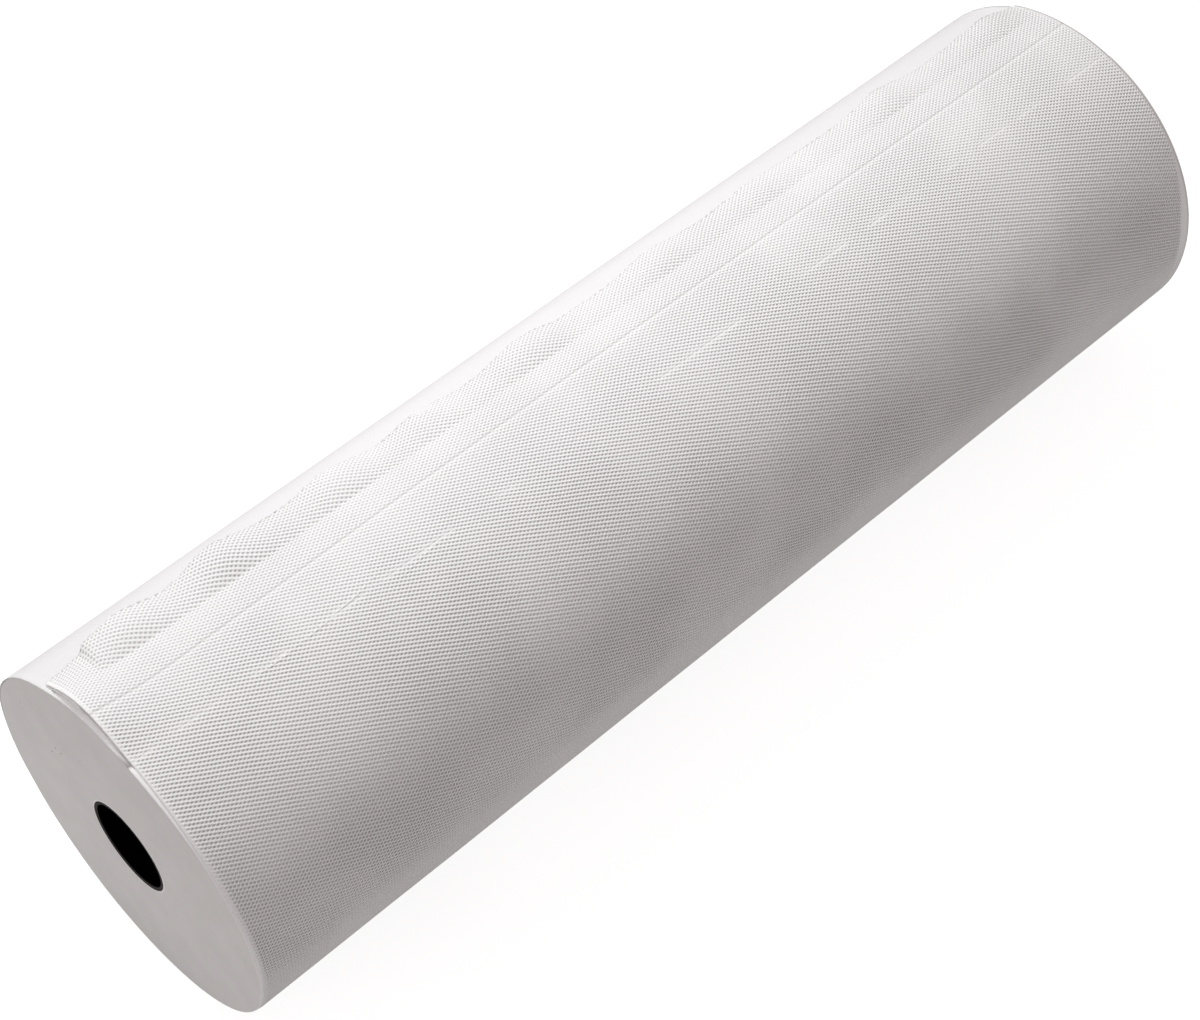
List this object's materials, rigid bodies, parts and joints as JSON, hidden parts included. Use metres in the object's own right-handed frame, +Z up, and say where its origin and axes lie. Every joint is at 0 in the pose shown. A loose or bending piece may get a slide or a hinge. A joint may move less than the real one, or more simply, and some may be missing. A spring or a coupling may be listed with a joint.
{
  "type": "exam table paper roll",
  "caption": "Wide roll of white embossed exam table paper on a board core, lying on its side with the loose torn end of the web ruffled along the top.",
  "frame": {"origin": "middle of the flat spot that the roll lies on, at mid length, on the floor", "axes": "+X along the roll's axis towards the far end of the picture, +Y to the back where the tail of the web lies, +Z up"},
  "size_m": [0.5, 0.1463, 0.1498],
  "materials": {
    "paper": "matt, finely embossed",
    "core_board": "matt"
  },
  "bodies": {
    "root": {"paper_roll": "paper", "core_tube": "core_board"}
  },
  "joints": []
}
